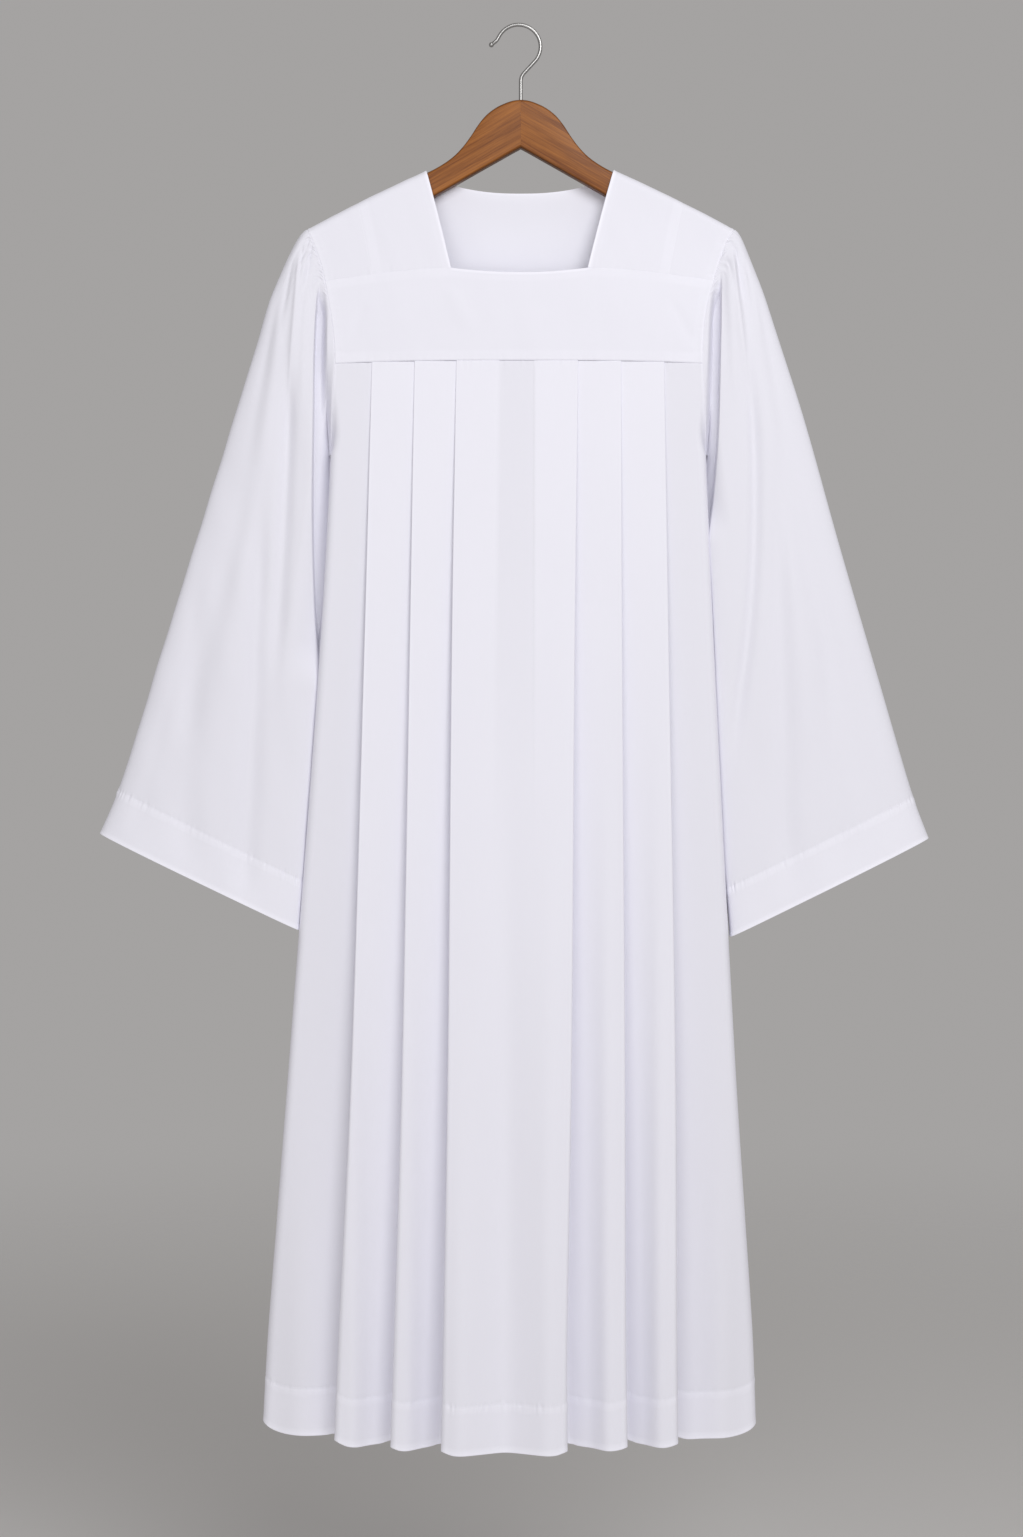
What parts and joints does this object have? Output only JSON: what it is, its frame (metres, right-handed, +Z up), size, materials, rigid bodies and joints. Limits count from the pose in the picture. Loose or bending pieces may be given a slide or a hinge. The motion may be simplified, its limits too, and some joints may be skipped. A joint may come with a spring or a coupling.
{
  "type": "surplice on a hanger",
  "caption": "White choir surplice with a square front neck, flat yoke, pleated body and wide bell sleeves, hanging open and empty on a wooden clothes hanger with a wire hook.",
  "frame": {"origin": "underside of the top of the hanger's hook, where a rail or peg carries it", "axes": "+Z up, along the length of the garment; the front faces -Y; +X to the right of someone who faces the front"},
  "size_m": [0.8807, 0.1431, 1.497],
  "materials": {
    "cloth": "matt plain-woven cotton blend, cool white",
    "hanger_wood": "mid-brown hardwood, satin varnish",
    "hook_wire": "drawn steel wire"
  },
  "bodies": {
    "root": {"front_yoke": "cloth", "shoulder_inner_left": "cloth", "shoulder_inner_right": "cloth", "shoulder_outer_left": "cloth", "shoulder_outer_right": "cloth", "back_yoke": "cloth", "front_skirt": "cloth", "back_skirt": "cloth", "sleeve_left": "cloth", "sleeve_right": "cloth", "hanger_arm_left": "hanger_wood", "hanger_arm_right": "hanger_wood", "hanger_hook": "hook_wire"}
  },
  "joints": []
}
